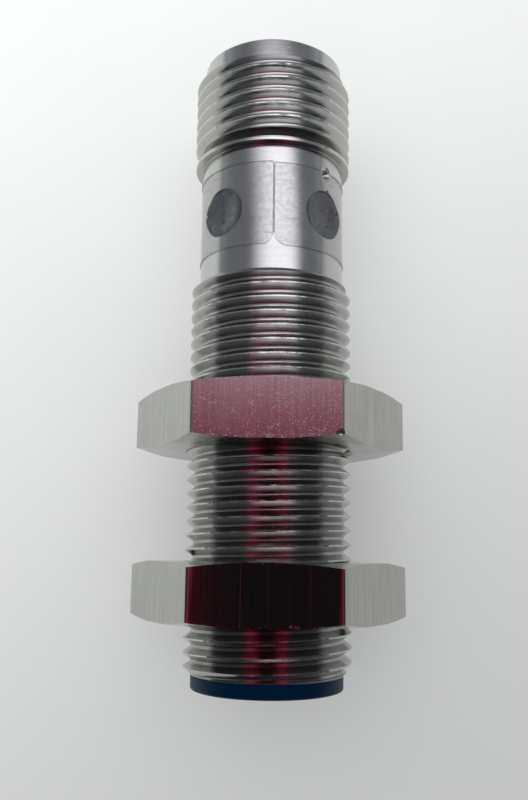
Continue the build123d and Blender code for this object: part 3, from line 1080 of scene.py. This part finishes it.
# ---------------- finishes by node
BARREL_PLATE = turned_nickel()
FRONT_PLATE = nut_nickel("drawn_nickel_front", 0.07, 0.004, 0.15, 0.74, "front_nut")
REAR_PLATE = nut_nickel("scuffed_nickel_rear", 0.2, 0.025, 0.8, 0.6, "rear_nut")
BLUE = grained(
    "blue_cap_plastic",
    (0.0002, 0.011, 0.036),
    (0.0001, 0.007, 0.024),
    600,
    0.4,
    0.5,
    9000,
    0.006 * MM,
    Specular_IOR_Level=0.22,
    Specular_Tint=(0.04, 0.42, 1.0, 1),
)
CARRIER = grained(
    "carrier_plastic_black", (0.028, 0.028, 0.03), (0.012, 0.012, 0.014), 500, 0.36, 0.5, 8000, 0.008 * MM
)
GOLD = striped_metal(
    "gold_plate", (0.95, 0.68, 0.28), (0.78, 0.52, 0.2), (200, 9000, 200), 0.16, 0.3, 0.003 * MM
)
COPPER = striped_metal(
    "enamelled_copper_wire", (0.8, 0.33, 0.14), (0.35, 0.1, 0.04), (300, 9000, 300), 0.22, 0.4, 0.02 * MM
)
CHIP = grained(
    "chip_epoxy_black", (0.035, 0.035, 0.037), (0.015, 0.015, 0.016), 1500, 0.5, 0.7, 14000, 0.008 * MM
)
CAD_FINISHES = {
    "ferrite_core": grained(
        "ferrite_grey", (0.05, 0.05, 0.055), (0.02, 0.02, 0.022), 1200, 0.5, 0.7, 14000, 0.01 * MM
    ),
    "coil_bobbin": grained(
        "bobbin_plastic_cream", (0.6, 0.55, 0.42), (0.48, 0.43, 0.32), 500, 0.4, 0.55, 7000, 0.008 * MM
    ),
    "coil_winding": COPPER,
    "coil_leads": COPPER,
    "circuit_board": solder_masked_board(),
    "capacitors": grained(
        "capacitor_tan", (0.4, 0.26, 0.13), (0.27, 0.16, 0.08), 1500, 0.4, 0.6, 12000, 0.005 * MM
    ),
    "resistors": grained(
        "resistor_black", (0.05, 0.05, 0.055), (0.02, 0.02, 0.025), 1500, 0.35, 0.5, 12000, 0.004 * MM
    ),
    "sensor_chip": CHIP,
    "output_transistor": CHIP,
    "voltage_regulator": CHIP,
    "protection_diodes": CHIP,
    "status_leds": lamp_lens(),
    "contact_wires": grained(
        "wire_sheath_brown", (0.22, 0.07, 0.03), (0.13, 0.04, 0.02), 900, 0.4, 0.55, 6000, 0.006 * MM
    ),
    "insert_seal_ring": grained(
        "seal_rubber", (0.02, 0.02, 0.02), (0.008, 0.008, 0.009), 700, 0.55, 0.75, 8000, 0.01 * MM
    ),
    "potting_compound": grained(
        "potting_resin_grey", (0.12, 0.12, 0.13), (0.06, 0.06, 0.07), 300, 0.3, 0.5, 3000, 0.02 * MM
    ),
}


def coat(piece, material):
    piece.data.materials.clear()
    piece.data.materials.append(material)


def fit(piece, material, body, slot, *replaced):
    """Coat a piece, ride it on its body and put it in place of its CAD nodes."""
    coat(piece, material)
    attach(piece, body)
    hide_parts(*replaced)


for node, material in CAD_FINISHES.items():
    coat(bpy.data.objects[node], material)

rear_front_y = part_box("rear_nut")[0].y
torn_corner = Vector((NUT_NICK_ASIDE, rear_front_y + NUT_NICK_INSET, NUT_FLATS_R + NUT_NICK_LIFT))
fit(make_barrel(), BARREL_PLATE, "housing", "nickel_barrel", "housing_tube")
fit(make_nut("front_nut"), FRONT_PLATE, "front_nut", "nickel_nut", "front_nut")
fit(make_nut("rear_nut", torn_corner), REAR_PLATE, "rear_nut", "nickel_nut", "rear_nut")
fit(make_cap(), BLUE, "housing", "blue_cap", "sensing_face_cap")
fit(make_light_guide(), smoked_plastic(), "housing", "smoked_clear", "light_guide")
fit(make_film(), clear_film(), "housing", "clear_film", "label_film")
fit(make_insert(), CARRIER, "housing", "carrier_plastic", "connector_insert")
for number, pin in enumerate(make_pins(), 1):
    fit(pin, GOLD, "housing", "gold_contact", f"contact_pin_{number}")


# ---------------- studio
CAMERA_PLACE = Vector((1.231, 9.255, 61.90)) * MM
CAMERA_TARGET = Vector((-0.433, 20.468, 0)) * MM
CAMERA_ROLL = math.radians(-0.72)
CAMERA_SENSOR = 36
CAMERA_LENS = 38.2

OVERHEAD_SIZE = 1.2
FLOOR_SIZE = 2
FLOOR_MIDDLE_Y = 0.02
# The floor's glow is painted light; its darkening towards one corner is painted shade.
FLOOR_PAINTED_GLOW = 0.34
FLOOR_SHADE_TURN = math.radians(-28)
FLOOR_SHADE = (50 * MM, -45 * MM)

LIGHT_PLACE = (-0.06, 0.14, 0.16)
LIGHT_TARGET = (-0.03, 0.09, 0)
LIGHT_SIZE = 0.34
LIGHT_POWER = 0.16
LIGHT_SPREAD = math.radians(150)

SKY_FILL = 0.62
SKY_MIRRORED = 0.21
SKY_SEEN_EXTRA = 0.3


def make_camera():
    """Camera over the mounting thread, looking a little towards the plug."""
    data = bpy.data.cameras.new("camera")
    camera = bpy.data.objects.new("camera", data)
    bpy.context.scene.collection.objects.link(camera)
    back = (CAMERA_PLACE - CAMERA_TARGET).normalized()
    right = Vector((0, 1, 0)).cross(back).normalized()
    up = back.cross(right)
    turn = Matrix((right, up, back)).transposed().to_4x4()
    camera.matrix_world = Matrix.Translation(CAMERA_PLACE) @ turn @ Matrix.Rotation(-CAMERA_ROLL, 4, "Z")
    data.sensor_width = CAMERA_SENSOR
    data.lens = CAMERA_LENS
    data.clip_start = 1 * MM
    data.clip_end = 10
    bpy.context.scene.camera = camera


def overhead_glow():
    """What shiny metal sees overhead: dark lens in crimson cloth, a pale window beyond, grey round it.

    The zones are in millimetres aside of the lens and ahead of it, towards the plug.
    """
    made = bpy.data.materials.new("overhead_glow")
    made.use_nodes = True
    tree = made.node_tree
    tree.nodes.clear()
    place = add(tree, "TexCoord").outputs["Object"]
    centred = {"Vector": place, "Location": -CAMERA_PLACE / MM, "Scale": (1 / MM, 1 / MM, 1 / MM)}
    off = add(tree, "SeparateXYZ", {0: add(tree, "Mapping", centred).outputs[0]}).outputs
    ahead = off["Y"]
    aside = maths(tree, "ABSOLUTE", off["X"])
    cloth = mix_colour(tree, zone(tree, aside, 14, 24), (0.17, 0.009, 0.025), (0.42, 0.035, 0.095))
    cloth = mix_colour(tree, zone(tree, ahead, 4, 16), cloth, (0.38, 0.062, 0.12))
    cloth = mix_colour(tree, zone(tree, ahead, 15, 27), cloth, (0.68, 0.3, 0.43))
    lens = maths(tree, "MULTIPLY", zone(tree, aside, 20, 8), zone(tree, ahead, 14, 9))
    cloth = mix_colour(tree, lens, cloth, (0.012, 0.009, 0.011))
    cloth_reach = maths(tree, "MULTIPLY", zone(tree, aside, 38, 30), zone(tree, ahead, -60, -45))
    cloth_reach = maths(tree, "MULTIPLY", cloth_reach, zone(tree, ahead, 34, 25))
    grey = mix_colour(tree, zone(tree, ahead, -5, 30), (0.045, 0.047, 0.055), (0.2, 0.21, 0.235))
    grey = mix_colour(tree, zone(tree, ahead, 90, 260), grey, (0.5, 0.52, 0.58))
    ceiling = mix_colour(tree, cloth_reach, grey, cloth)
    window_middle = span(tree, zone(tree, ahead, 56, 70), 16, -4)
    window_aside = maths(tree, "ABSOLUTE", maths(tree, "SUBTRACT", off["X"], window_middle))
    window = maths(tree, "MULTIPLY", zone(tree, window_aside, 60, 12), zone(tree, ahead, 22, 40))
    window = maths(tree, "MULTIPLY", window, zone(tree, ahead, 79, 62))
    lamp = add(tree, "Emission", {"Color": mix_colour(tree, window, ceiling, (1.98, 1.93, 2.14))})
    out = tree.nodes.new("ShaderNodeOutputMaterial")
    tree.links.new(lamp.outputs[0], out.inputs[0])
    return made


def make_overhead():
    """Card level with the lens that only shiny surfaces see."""
    clear_selection()
    bpy.ops.mesh.primitive_plane_add(size=OVERHEAD_SIZE, location=(0, 0, 0))
    made = bpy.context.object
    made.name = "overhead_card"
    made.data.transform(Matrix.Translation((0, 0, CAMERA_PLACE.z)))
    made.data.materials.append(overhead_glow())
    made.visible_camera = False
    made.visible_diffuse = False
    made.visible_transmission = False
    made.visible_shadow = False


def make_soft_light():
    """Wide soft light over the plug end that shiny surfaces don't mirror."""
    data = bpy.data.lights.new("soft_key", "AREA")
    data.shape = "SQUARE"
    data.size = LIGHT_SIZE
    data.energy = LIGHT_POWER
    data.color = (1.0, 0.99, 0.97)
    data.spread = LIGHT_SPREAD
    light = bpy.data.objects.new("soft_key", data)
    bpy.context.scene.collection.objects.link(light)
    aim = Vector(LIGHT_TARGET) - Vector(LIGHT_PLACE)
    light.location = LIGHT_PLACE
    light.rotation_euler = aim.to_track_quat("-Z", "Y").to_euler()
    light.visible_glossy = False
    light.visible_transmission = False


def make_floor():
    """Pale bench with painted light and shade: it glows a little, so shadows stay light, and darkens towards
    one corner.
    """
    clear_selection()
    bpy.ops.mesh.primitive_plane_add(size=FLOOR_SIZE, location=(0, FLOOR_MIDDLE_Y, FLOOR_Z))
    floor = bpy.context.object
    floor.name = "floor"
    made, tree, shader, place = new_material("pale_bench", Emission_Strength=FLOOR_PAINTED_GLOW)
    cloud = patches(tree, place, 40, 0.3, 0.7)
    pale = mix_colour(tree, cloud, (0.84, 0.85, 0.825), (0.81, 0.82, 0.8))
    # Painted shade: the colour darkens towards one corner.
    to_corner = {"Vector": place, "Angle": FLOOR_SHADE_TURN}
    tilted = add(tree, "VectorRotate", to_corner, rotation_type="Z_AXIS").outputs[0]
    shade = zone(tree, part_of(tree, tilted, "Y"), *FLOOR_SHADE)
    paper_with_painted_shade = mix_colour(tree, shade, pale, (0.5, 0.505, 0.495))
    finish(tree, shader, paper_with_painted_shade, span(tree, cloud, 0.5, 0.6))
    tree.links.new(paper_with_painted_shade, shader.inputs["Emission Color"])
    floor.data.materials.append(made)


def make_world():
    """Even pale sky, weaker where metal mirrors it and stronger where it is seen."""
    world = bpy.data.worlds.new("studio")
    bpy.context.scene.world = world
    world.use_nodes = True
    tree = world.node_tree
    sky = tree.nodes["Background"]
    sky.inputs["Color"].default_value = (0.93, 0.95, 1.0, 1)
    rays = add(tree, "LightPath").outputs
    fill = span(tree, rays["Is Glossy Ray"], SKY_FILL, SKY_MIRRORED)
    seen = span(tree, rays["Is Camera Ray"], 0, SKY_SEEN_EXTRA)
    tree.links.new(maths(tree, "ADD", fill, seen), sky.inputs["Strength"])


make_camera()
make_floor()
make_world()
make_soft_light()
make_overhead()
bpy.context.scene.view_settings.view_transform = "Standard"
